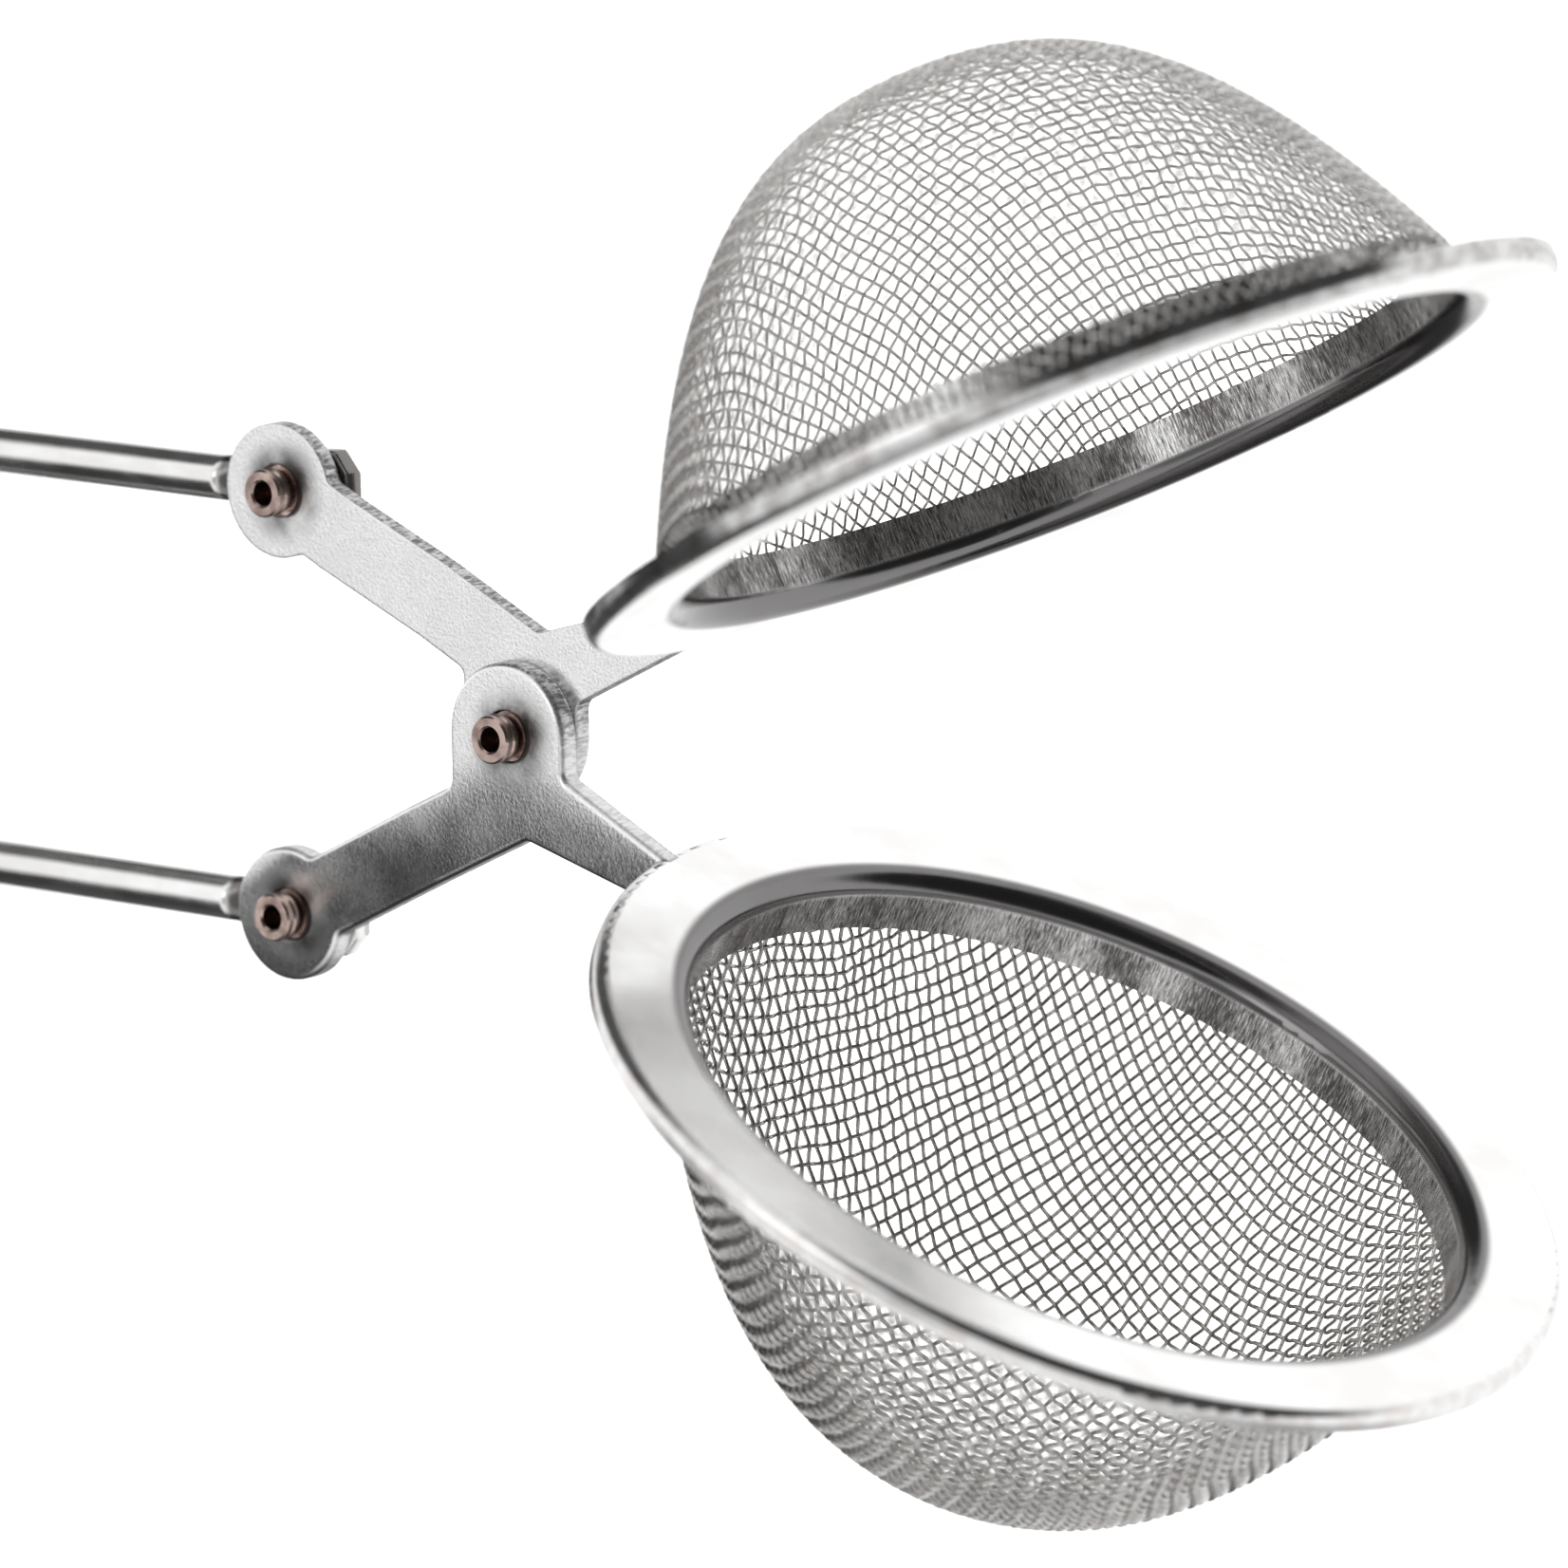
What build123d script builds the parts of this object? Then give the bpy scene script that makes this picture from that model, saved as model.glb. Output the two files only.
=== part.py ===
from build123d import *
import math
import os

# Squeeze-handle tea infuser, drawn in its open, squeezed pose.
# X runs along the tool towards the bowls, Y along the pivot axis, Z up.
# The origin is the centre of the main pivot. All sizes are millimetres.

# Jaw opening: each jaw stands this far from the closing plane Z = 0.
OPEN_ANGLE = 26.7
JAW_REACH = 42.3          # pivot to the centre of a bowl, along the jaw
BOWL_OFFSET_Y = 5.8       # the bowls sit a little to the rear of the lever plates

# Stamped rim: a flat flange, a turned-down outer lip and an inner neck.
FLANGE_RADIUS = 30.0
NECK_RADIUS = 23.9        # clear radius of the opening
SHEET = 0.35
NECK_ROUND = 1.4          # outside radius of the bend into the neck
LIP_ROUND = 0.8           # outside radius of the bend into the lip
LIP_DEPTH = 1.4
NECK_DEPTH = 3.7

# Woven bowl, as a thin cup: straight beside the neck, then domed.
CUP_RADIUS = 24.55
CUP_WALL = 0.30
CUP_DEPTH = 24.6          # from the closing plane to the top of the dome
DOME_FULLNESS = 2.55      # height falls with this power of the distance from the axis
DOME_SPANS = 10           # stretches of the dome's spline

# Lever plates, stamped alike and turned over for the second jaw.
PLATE = 1.4
PLATE_GAP = 0.06          # running gap between the two plates
PIVOT_EAR_RADIUS = 4.4
EAR_RADIUS = 4.1
EAR_X = -18.4             # handle ear, in the open pose
EAR_Z = 13.0
ARM_WIDTH = 5.0
ARM_AIM_Z = 4.07          # the handle arm points at this height above the pivot
ARM_LENGTH = 20.8         # handle ear to the notch between the two arms
BOWL_ARM_REACH = 13.2     # the bowl arm meets the flange here
BOWL_ARM_HEIGHT = 3.1     # and stands this high above the closing plane
TONGUE_REACH = 16.9       # its tongue ends under the flange, clear of the mesh
TONGUE_HEIGHT = 2.6
HOLE_RADIUS = 1.6
JOGGLE_START = 4.8        # the handle arm steps sideways between these distances
JOGGLE_END = 13.0
CORNER = 0.8
STAMP_ROUND = 0.4         # rounded edge on the die side of each plate
BLANK = 5.0               # half the thickness of a blank before it is trimmed
TRIM = 60.0               # longer than any plate, for trimming
DRILL_PASS = 1.0          # how far a drill passes beyond the metal
FACES_REAR = 0.5          # a face whose normal has more Y than this looks to the rear
SAME_PLACE = 0.001        # two edge centres closer than this coincide

# Hollow rivets.
RUNNING_FIT = 0.08
RIVET_BORE = 0.75
RIVET_WAIST = 1.3
WAIST_DEPTH = 0.35        # the waist goes this far into the plate
RIVET_PROUD = 1.45
RING_RADIUS = 1.45
RING_WIDTH = 0.5
RING_CHAMFER = 0.12
RIVET_HEAD_RADIUS = 2.5
RIVET_HEAD = 0.7
HEAD_CHAMFER = 0.25
BORE_FLOOR = 0.2          # metal left between the bore and the head

# Handle: one spring wire bent to a U, with flattened and drilled ends.
WIRE_RADIUS = 1.42
BEND_RADIUS = 13.0
BEND_CENTRE_X = -99.08
PADDLE = 1.3
PADDLE_WIDTH = 5.0
PADDLE_TIP = 4.3          # how far the paddle passes the rivet
TIP_CHAMFER_LONG = 1.0
TIP_CHAMFER_WIDE = 1.4
PADDLE_ROOT = 4.4         # the flat part ends this far before the rivet
WIRE_START = 6.4          # rivet to the start of the round wire
SLOT_TRAVEL = 0.95        # how far the hidden slot lets the upper rivet float
SLOT_HALF_WIDTH = 1.2
SLOT_RIVET_RADIUS = 1.1
BEND_GAP = 0.10

FRONT_Y = -PLATE_GAP / 2 - PLATE
EAR_BACK_Y = PLATE / 2
PADDLE_Y = EAR_BACK_Y + PLATE_GAP
WIRE_Y = PADDLE_Y + PADDLE / 2


def in_plane(x, z):
    """A point of the plates' plane."""
    return Vector(x, 0, z)


def jaw_point(reach, height, side):
    """A point given along the jaw and from its closing plane, in the open pose."""
    angle = math.radians(OPEN_ANGLE)
    x = reach * math.cos(angle) - height * math.sin(angle)
    z = reach * math.sin(angle) + height * math.cos(angle)
    return Vector(x, 0, side * z)


def slab(points, low_y, high_y):
    """An upright slab with the given corners, between two Y values."""
    corners = [(p.X, low_y, p.Z) for p in points]
    face = make_face(Polyline(*corners, close=True).edges())
    return extrude(face, amount=high_y - low_y, dir=(0, 1, 0))


def pin(radius, low_y, high_y, x=0.0, z=0.0):
    """A cylinder along Y."""
    place = Plane(origin=(x, low_y, z), x_dir=(1, 0, 0), z_dir=(0, 1, 0))
    return extrude(place * Circle(radius), amount=high_y - low_y)


def place_on_jaw(shape, side):
    """Moves a closed upper-jaw shape to its open place; side -1 is the lower jaw."""
    if side < 0:
        shape = mirror(shape, about=Plane.XY)
    return Rot(0, -side * OPEN_ANGLE, 0) * shape


# ---------------------------------------------------------------- bowls

def bend(centre_x, centre_z, radius, side):
    """Quarter of a circle below its centre; side is 1 outwards, -1 inwards."""
    diagonal = radius * math.sqrt(0.5)
    return ThreePointArc((centre_x + side * radius, 0, centre_z),
                         (centre_x + side * diagonal, 0, centre_z - diagonal),
                         (centre_x, 0, centre_z - radius))


def rim_shape():
    """Flange, lip and neck in one section, turned about the bowl's axis."""
    neck_bend = NECK_RADIUS + NECK_ROUND
    lip_bend = FLANGE_RADIUS - LIP_ROUND
    neck_back = NECK_RADIUS + SHEET
    lip_back = FLANGE_RADIUS - SHEET
    section = [
        Line((NECK_RADIUS, 0, NECK_DEPTH), (NECK_RADIUS, 0, NECK_ROUND)),
        bend(neck_bend, NECK_ROUND, NECK_ROUND, -1),
        Line((neck_bend, 0, 0), (lip_bend, 0, 0)),
        bend(lip_bend, LIP_ROUND, LIP_ROUND, 1),
        Line((FLANGE_RADIUS, 0, LIP_ROUND), (FLANGE_RADIUS, 0, LIP_DEPTH)),
        Line((FLANGE_RADIUS, 0, LIP_DEPTH), (lip_back, 0, LIP_DEPTH)),
        Line((lip_back, 0, LIP_DEPTH), (lip_back, 0, LIP_ROUND)),
        bend(lip_bend, LIP_ROUND, LIP_ROUND - SHEET, 1),
        Line((lip_bend, 0, SHEET), (neck_bend, 0, SHEET)),
        bend(neck_bend, NECK_ROUND, NECK_ROUND - SHEET, -1),
        Line((neck_back, 0, NECK_ROUND), (neck_back, 0, NECK_DEPTH)),
        Line((neck_back, 0, NECK_DEPTH), (NECK_RADIUS, 0, NECK_DEPTH)),
    ]
    ring = revolve(make_face(section), axis=Axis.Z)
    return Pos(JAW_REACH, BOWL_OFFSET_Y, 0) * ring


def dome_line(radius, rise):
    """Outline of the dome from its top to the end of the neck."""
    points = []
    for span in range(DOME_SPANS + 1):
        share = span / DOME_SPANS
        height = NECK_DEPTH + rise * (1 - share ** DOME_FULLNESS)
        points.append((radius * share, 0, height))
    return Spline(*points, tangents=[(radius, 0, 0), (radius, 0, -rise * DOME_FULLNESS)])


def cup_shape():
    """The woven bowl as a thin cup whose top edge stands beside the neck."""
    inner_radius = CUP_RADIUS - CUP_WALL
    outer_rise = CUP_DEPTH - NECK_DEPTH
    inner_rise = outer_rise - CUP_WALL
    section = [
        dome_line(CUP_RADIUS, outer_rise),
        Line((CUP_RADIUS, 0, NECK_DEPTH), (CUP_RADIUS, 0, NECK_ROUND)),
        Line((CUP_RADIUS, 0, NECK_ROUND), (inner_radius, 0, NECK_ROUND)),
        Line((inner_radius, 0, NECK_ROUND), (inner_radius, 0, NECK_DEPTH)),
        dome_line(inner_radius, inner_rise),
        Line((0, 0, CUP_DEPTH - CUP_WALL), (0, 0, CUP_DEPTH)),
    ]
    cup = revolve(make_face(section), axis=Axis.Z)
    return Pos(JAW_REACH, BOWL_OFFSET_Y, 0) * cup


# ---------------------------------------------------------------- lever plates

def arm_direction():
    """Unit vector from the handle ear to the middle of the plate."""
    drop = EAR_Z - ARM_AIM_Z
    length = math.hypot(EAR_X, drop)
    return -EAR_X / length, -drop / length


def flat(points):
    """A flat face with the given (x, z) corners, drawn in the sketch plane."""
    return make_face(Polyline(*points, close=True).edges())


def arm_corners(distance, side):
    """(x, z) of a point on an edge of the handle arm, at a distance from its ear."""
    dx, dz = arm_direction()
    half = side * ARM_WIDTH / 2
    return EAR_X + dx * distance - dz * half, EAR_Z + dz * distance + dx * half


def plate_outline():
    """The Y-shaped outline of the upper plate, with its inside corners rounded."""
    throat = arm_corners(ARM_LENGTH, 1)
    arm = flat([arm_corners(0, -1), arm_corners(ARM_LENGTH, -1), throat, arm_corners(0, 1)])
    ear = PIVOT_EAR_RADIUS
    tab = flat([(-ear, 0), (ear, 0), (ear, ARM_AIM_Z), (-ear, ARM_AIM_Z)])
    inner_end = jaw_point(TONGUE_REACH, 0, 1)
    tongue_end = jaw_point(TONGUE_REACH, TONGUE_HEIGHT, 1)
    arm_end = jaw_point(BOWL_ARM_REACH, BOWL_ARM_HEIGHT, 1)
    bowl_arm = flat([(0, 0), (inner_end.X, inner_end.Z), (tongue_end.X, tongue_end.Z),
                     (arm_end.X, arm_end.Z), throat, (0, ARM_AIM_Z)])
    outline = arm + tab + bowl_arm + Circle(ear) + Pos(EAR_X, EAR_Z) * Circle(EAR_RADIUS)
    return fillet(inside_corners(outline), CORNER)


def inside_corners(outline):
    """Corners where two parts of the plate's outline meet at an inside corner."""
    back = math.sqrt(EAR_RADIUS ** 2 - (ARM_WIDTH / 2) ** 2)
    dx, dz = arm_direction()
    low_x, low_z = arm_corners(0, -1)
    left_z = low_z + (-PIVOT_EAR_RADIUS - low_x) * dz / dx
    right_z = PIVOT_EAR_RADIUS * math.tan(math.radians(OPEN_ANGLE))
    spots = [arm_corners(back, -1), arm_corners(back, 1), (-PIVOT_EAR_RADIUS, left_z),
             (PIVOT_EAR_RADIUS, right_z), arm_corners(ARM_LENGTH, 1)]
    found = []
    for corner in outline.vertices():
        near = [s for s in spots if math.hypot(corner.X - s[0], corner.Y - s[1]) < CORNER / 2]
        if near:
            found.append(corner)
    return found


def joggled_layer():
    """A sheet that steps forward along the handle arm, to trim the blank to."""
    dx, dz = arm_direction()
    low = PLATE_GAP / 2
    forward = -PLATE / 2
    path = [(-TRIM, forward), (JOGGLE_START, forward), (JOGGLE_END, low),
            (TRIM, low), (TRIM, low + PLATE), (JOGGLE_END, low + PLATE),
            (JOGGLE_START, forward + PLATE), (-TRIM, forward + PLATE)]
    corners = []
    for distance, y in path:
        corners.append((EAR_X + dx * distance + dz * TRIM, y,
                        EAR_Z + dz * distance - dx * TRIM))
    face = make_face(Polyline(*corners, close=True).edges())
    return extrude(face, amount=2 * TRIM, dir=(-dz, 0, dx))


def round_die_side(plate):
    """Rounds the outline on the rear side, where the press drew the sheet down."""
    rear = [face for face in plate.faces() if face.normal_at().Y > FACES_REAR]
    edges = [edge for face in rear for edge in face.outer_wire().edges()]
    outline = []
    for edge in edges:
        twins = [e for e in edges if (e.center() - edge.center()).length < SAME_PLACE]
        if len(twins) == 1:
            outline.append(edge)
    return fillet(outline, STAMP_ROUND)


def upper_plate():
    """Upper lever plate, bent to its joggle and drilled."""
    blank = extrude(Plane.XZ * plate_outline(), amount=BLANK, both=True)
    plate = round_die_side(blank & joggled_layer())
    plate -= pin(HOLE_RADIUS, -BLANK, BLANK)
    plate -= pin(HOLE_RADIUS, -BLANK, BLANK, EAR_X, EAR_Z)
    return plate


# ---------------------------------------------------------------- rivets

def turned(profile, x=0.0, z=0.0):
    """A turned part on an axis along Y from (radius, y) points."""
    points = [(radius, y, 0) for radius, y in profile]
    face = make_face(Polyline(*points, close=True).edges())
    return Pos(x, 0, z) * revolve(face, axis=Axis.Y)


def ring(start_y):
    """(radius, y) points of one raised ring with chamfered edges."""
    foot = RING_RADIUS - RING_CHAMFER
    end_y = start_y + RING_WIDTH
    return [(foot, start_y), (RING_RADIUS, start_y + RING_CHAMFER),
            (RING_RADIUS, end_y - RING_CHAMFER), (foot, end_y)]


def rivet(front_y, shank, back_y, x=0.0, z=0.0):
    """A hollow rivet: ringed open end at the front, stepped shank, flat head behind.

    shank lists (radius, end y) from the front face backwards.
    """
    tip = front_y - RIVET_PROUD
    waist_end = front_y + WAIST_DEPTH
    head_end = back_y + RIVET_HEAD
    profile = [(RIVET_BORE + RING_CHAMFER, tip)]
    profile += ring(tip) + ring(tip + RING_WIDTH + RING_CHAMFER)
    profile.append((RIVET_WAIST, waist_end))
    y = waist_end
    for radius, end in shank:
        profile += [(radius, y), (radius, end)]
        y = end
    profile += [
        (RIVET_HEAD_RADIUS, back_y),
        (RIVET_HEAD_RADIUS, head_end - HEAD_CHAMFER),
        (RIVET_HEAD_RADIUS - HEAD_CHAMFER, head_end),
        (0.0, head_end),
        (0.0, back_y - BORE_FLOOR),
        (RIVET_BORE, back_y - BORE_FLOOR),
        (RIVET_BORE, tip + RING_CHAMFER),
    ]
    return turned(profile, x, z)


# ---------------------------------------------------------------- handle wire

def leg_angle():
    """Angle between a leg and X, from the tangent between rivet and bend."""
    run = EAR_X - BEND_CENTRE_X
    reach = math.hypot(run, EAR_Z)
    return math.atan2(EAR_Z, run) - math.asin(BEND_RADIUS / reach)


def leg_and_paddle(length):
    """Straight leg and flattened end, drawn along X with the rivet at the origin."""
    wire_end = Plane(origin=(-WIRE_START, WIRE_Y, 0), x_dir=(0, 1, 0), z_dir=(-1, 0, 0))
    leg = extrude(wire_end * Circle(WIRE_RADIUS), amount=length - WIRE_START)
    root = Plane(origin=(-PADDLE_ROOT, WIRE_Y, 0), x_dir=(0, 1, 0), z_dir=(-1, 0, 0))
    flat_end = root * Rectangle(PADDLE, PADDLE_WIDTH)
    neck = loft([flat_end.face(), (wire_end * Circle(WIRE_RADIUS)).face()])
    half = PADDLE_WIDTH / 2
    shoulder = PADDLE_TIP - TIP_CHAMFER_LONG
    tip = half - TIP_CHAMFER_WIDE
    outline = [in_plane(-PADDLE_ROOT, -half), in_plane(shoulder, -half),
               in_plane(PADDLE_TIP, -tip), in_plane(PADDLE_TIP, tip),
               in_plane(shoulder, half), in_plane(-PADDLE_ROOT, half)]
    return leg + neck + slab(outline, PADDLE_Y, PADDLE_Y + PADDLE)


def bend_point(turn):
    """A point of the wire's centre line, at an angle round the bend."""
    return (BEND_CENTRE_X + BEND_RADIUS * math.cos(turn), WIRE_Y,
            BEND_RADIUS * math.sin(turn))


def handle_wire(slotted):
    """Upper half of the U-shaped wire, in its place."""
    angle = leg_angle()
    length = math.sqrt((EAR_X - BEND_CENTRE_X) ** 2 + EAR_Z ** 2 - BEND_RADIUS ** 2)
    wire = Pos(EAR_X, 0, EAR_Z) * Rot(0, -math.degrees(angle), 0) * leg_and_paddle(length)
    first = math.pi / 2 + angle
    last = math.pi - BEND_GAP / 2 / BEND_RADIUS
    path = ThreePointArc(bend_point(first), bend_point((first + math.pi) / 2),
                         bend_point(last))
    across = Plane(origin=bend_point(first), x_dir=(0, 1, 0),
                   z_dir=(-math.cos(angle), 0, -math.sin(angle)))
    wire += sweep(across * Circle(WIRE_RADIUS), path=path)
    if slotted:
        return wire - rivet_slot()
    low, high = drill_span()
    return wire - pin(HOLE_RADIUS, low, high, EAR_X, EAR_Z)


def drill_span():
    """Y values between which a drill passes right through a paddle."""
    return PADDLE_Y - DRILL_PASS, PADDLE_Y + PADDLE + DRILL_PASS


def rivet_slot():
    """Clearance slot in the upper paddle, where the linkage is left open."""
    low, high = drill_span()
    w = SLOT_HALF_WIDTH
    slot = pin(w, low, high, EAR_X, EAR_Z)
    slot += pin(w, low, high, EAR_X, EAR_Z + SLOT_TRAVEL)
    body = [in_plane(EAR_X - w, EAR_Z), in_plane(EAR_X + w, EAR_Z),
            in_plane(EAR_X + w, EAR_Z + SLOT_TRAVEL),
            in_plane(EAR_X - w, EAR_Z + SLOT_TRAVEL)]
    return slot + slab(body, low, high)


# ---------------------------------------------------------------- assembly

def turned_over(shape):
    """The same stamping turned over about X, as the lower jaw uses it."""
    return Rot(180, 0, 0) * shape


def build():
    """Every separate piece of the infuser, by name."""
    rim = rim_shape()
    cup = cup_shape()
    upper_rim = place_on_jaw(rim, 1)
    lower_rim = place_on_jaw(rim, -1)
    plate = upper_plate()
    back_of_paddle = PADDLE_Y + PADDLE
    tight = HOLE_RADIUS
    running = HOLE_RADIUS - RUNNING_FIT
    return {
        "lower_rim": lower_rim,
        "upper_rim": upper_rim,
        "lower_mesh_bowl": place_on_jaw(cup, -1),
        "upper_mesh_bowl": place_on_jaw(cup, 1),
        "lower_lever_plate": turned_over(plate) - lower_rim,
        "upper_lever_plate": plate - upper_rim,
        "pivot_rivet": rivet(FRONT_Y, [(running, PLATE_GAP / 2), (tight, -FRONT_Y)],
                             -FRONT_Y),
        "lower_handle_rivet": rivet(-PLATE / 2,
                                    [(running, PADDLE_Y), (tight, back_of_paddle)],
                                    back_of_paddle, EAR_X, -EAR_Z),
        "upper_handle_rivet": rivet(-PLATE / 2,
                                    [(tight, PLATE / 2),
                                     (SLOT_RIVET_RADIUS, back_of_paddle + PLATE_GAP)],
                                    back_of_paddle + PLATE_GAP, EAR_X, EAR_Z),
        "lower_handle_wire": mirror(handle_wire(False), about=Plane.XY),
        "upper_handle_wire": handle_wire(True),
    }


os.makedirs("parts", exist_ok=True)
for name, shape in build().items():
    export_step(shape, f"parts/{name}.step")
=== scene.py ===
import bmesh
import bpy
import math
import numpy as np
from mathutils import Matrix, Vector


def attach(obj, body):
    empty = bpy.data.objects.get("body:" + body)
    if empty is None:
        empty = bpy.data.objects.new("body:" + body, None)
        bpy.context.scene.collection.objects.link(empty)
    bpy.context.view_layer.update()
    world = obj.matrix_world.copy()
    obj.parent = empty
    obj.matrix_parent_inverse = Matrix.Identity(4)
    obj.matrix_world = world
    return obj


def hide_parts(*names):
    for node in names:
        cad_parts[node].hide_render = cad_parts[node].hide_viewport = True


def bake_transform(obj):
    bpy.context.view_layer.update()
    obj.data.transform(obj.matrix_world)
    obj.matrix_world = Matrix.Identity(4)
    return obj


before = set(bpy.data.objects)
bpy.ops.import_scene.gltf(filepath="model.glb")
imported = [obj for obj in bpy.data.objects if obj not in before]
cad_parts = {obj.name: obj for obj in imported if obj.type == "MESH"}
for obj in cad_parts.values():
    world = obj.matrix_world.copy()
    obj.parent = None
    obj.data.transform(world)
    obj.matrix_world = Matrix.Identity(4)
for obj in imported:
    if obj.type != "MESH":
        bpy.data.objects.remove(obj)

# Squeeze-handle tea infuser. Metres, row frame: X towards the bowls, Y along the
# pivots, Z up, origin at the centre of the main pivot.
MM = 0.001
OPEN_ANGLE = math.radians(26.7)     # each jaw stands this far from the closing plane
JAW_REACH = 42.3 * MM               # pivot to the axis of a bowl
BOWL_Y = 5.8 * MM
SIDES = {"upper": 1, "lower": -1}

# Rim section, as packed.
NECK_RADIUS = 23.9 * MM
NECK_ROUND = 1.4 * MM
NECK_DEPTH = 3.7 * MM
NECK_STARTS = 1.4 * MM              # behind the closing plane
NECK_BACK_RADIUS = 24.45 * MM
BEND_OUTER_RADIUS = 25.3 * MM
LIP_RADIUS = 29.5 * MM
# Painted shade on the lip, darker on the upper bowl.
LIP_SHADE_TONE = {"upper": 0.42, "lower": 0.74}

# Woven bowl.
WEAVE_RADIUS = 24.45 * MM           # middle of the weave beside the neck
WEAVE_APEX = 24.4 * MM              # middle of the weave at the top of the dome
DOME_FULLNESS = 2.55                # height falls with this power of the radius
DOME_LEAN = {"upper": -0.6 * MM, "lower": 0.8 * MM}     # each dome was pulled off its axis
WEAVE_PITCH = 1.0 * MM
STRAND_RADIUS = {"upper": 0.095 * MM, "lower": 0.13 * MM}
STRAND_SIDES = 6
WEAVE_TURN = {"upper": math.radians(16.5), "lower": math.radians(-5)}   # lie of the cloth
WAVE_SIZES = ((22, 0.25), (13, 0.12), (7, 0.045), (4.2, 0.02))      # length and push, mm
CRIMP_LIFT = 1.12                   # a strand rises this many radii where it crosses another
STATIONS_PER_PITCH = 3
LONE_SWAY, SLOW_SWAY = 0.03 * MM, 0.02 * MM     # a strand's own sideways wander
TO_HANDLE = (-0.77, -0.64, 0.0)     # side of a bowl whose strands get painted shade for the dark room they mirror

# Handle wire.
EAR_X, EAR_Z = -18.4 * MM, 13.0 * MM
BEND_X, BEND_RADIUS = -99.08 * MM, 13.0 * MM
WIRE_Y = 1.41 * MM
WIRE_RADIUS = 1.42 * MM
WIRE_POINTS = 40                    # points round the wire
FINE_STATIONS, PLAIN_STATIONS, BEND_STATIONS = 90, 60, 48
PADDLE_HALF_WIDTH = 2.5 * MM
PADDLE_HALF_THICK = 0.65 * MM
PADDLE_SQUARENESS = 7               # added to 2, the power of a round section
TIP_HALF_WIDTH = 1.25 * MM
HOLE_RADIUS = 1.6 * MM
SMOOTH_ANGLE = math.radians(35)

# Distances along a leg of the wire, from its rivet.
PADDLE_TIP, PADDLE_SHOULDER, PADDLE_ROOT = -4.3 * MM, -3.3 * MM, 3.3 * MM
WIRE_START = 5.9 * MM               # the section is round from here on
FINE_END, PLAIN_START = 9 * MM, 9.6 * MM        # closely spaced stations, then wide ones
CRIMP_SHADE_NEAR, CRIMP_SHADE_FAR = 4.6 * MM, 5.7 * MM      # painted shade: a dark band across the wire

# Lever plates.
RIVET_ZONE_SHIFT = 0.45 * MM              # painted shade and rougher patch beside a rivet lie a little towards the bowls
FLATTENING = 6.0                    # how firmly the shading of a face is held level
EDGE_BOW, DROOP_BOW = -1.2, -1.7    # how far it still turns down at the low edge and low end

random = np.random.default_rng(7)


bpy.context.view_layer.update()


# ------------------------------------------------------------------ node helpers

class Nodes:
    """A short way to write a node tree."""

    def __init__(self, tree):
        self.tree = tree
        tree.nodes.clear()

    def add(self, kind, inputs=None, output=0, **settings):
        node = self.tree.nodes.new(kind)
        for key, value in settings.items():
            setattr(node, key, value)
        for key, value in (inputs or {}).items():
            self.feed(node.inputs[key], value)
        return node.outputs[output] if output is not None else node

    def feed(self, socket, value):
        if isinstance(value, bpy.types.NodeSocket):
            self.tree.links.new(value, socket)
        else:
            socket.default_value = value

    def math(self, operation, a, b=0.0):
        return self.add("ShaderNodeMath", {0: a, 1: b}, operation=operation)

    def step(self, value, low, high, from_value=0.0, to_value=1.0):
        """A soft change from one value to another as the input goes from low to high."""
        return self.add("ShaderNodeMapRange", {"Value": value, "From Min": low, "From Max": high,
                                               "To Min": from_value, "To Max": to_value},
                        interpolation_type="SMOOTHSTEP")

    def beyond(self, value, edge, blur):
        """1 above the edge and 0 below it, with a soft change of twice the blur."""
        return self.step(value, edge - blur, edge + blur)

    def within(self, value, edge, blur):
        """1 below the edge and 0 above it."""
        return self.step(value, edge + blur, edge - blur)

    def noise(self, vector, scale, detail=3.0, roughness=0.5):
        return self.add("ShaderNodeTexNoise", {"Vector": vector, "Scale": scale,
                                               "Detail": detail, "Roughness": roughness})

    def mix(self, share, a, b):
        return self.add("ShaderNodeMix", {"Factor": share, "A": a, "B": b}, data_type="FLOAT")

    def colour(self, share, a, b):
        node = self.add("ShaderNodeMix", output=None, data_type="RGBA")
        self.feed(node.inputs["Factor"], share)
        self.feed(node.inputs[6], a)
        self.feed(node.inputs[7], b)
        return node.outputs[2]

    def vector(self, x, y, z):
        return self.add("ShaderNodeCombineXYZ", {0: x, 1: y, 2: z})

    def parts(self, vector):
        node = self.add("ShaderNodeSeparateXYZ", {0: vector}, output=None)
        return node.outputs[0], node.outputs[1], node.outputs[2]

    def bump(self, height, strength, distance, base=None):
        inputs = {"Height": height, "Strength": strength, "Distance": distance}
        if base is not None:
            inputs["Normal"] = base
        return self.add("ShaderNodeBump", inputs)


def grey(value, red=1.0, blue=1.0):
    return (value * red, value, value * blue, 1.0)


def material(name):
    mat = bpy.data.materials.new(name)
    mat.use_nodes = True
    return mat, Nodes(mat.node_tree)


def metal(n, colour, roughness, normal=None):
    inputs = {"Base Color": colour, "Roughness": roughness, "Metallic": 1.0}
    if normal is not None:
        inputs["Normal"] = normal
    shader = n.add("ShaderNodeBsdfPrincipled", inputs)
    n.add("ShaderNodeOutputMaterial", {"Surface": shader}, output=None)


def object_point(n):
    return n.add("ShaderNodeTexCoord", output=3)


# ------------------------------------------------------------------ metals

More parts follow.
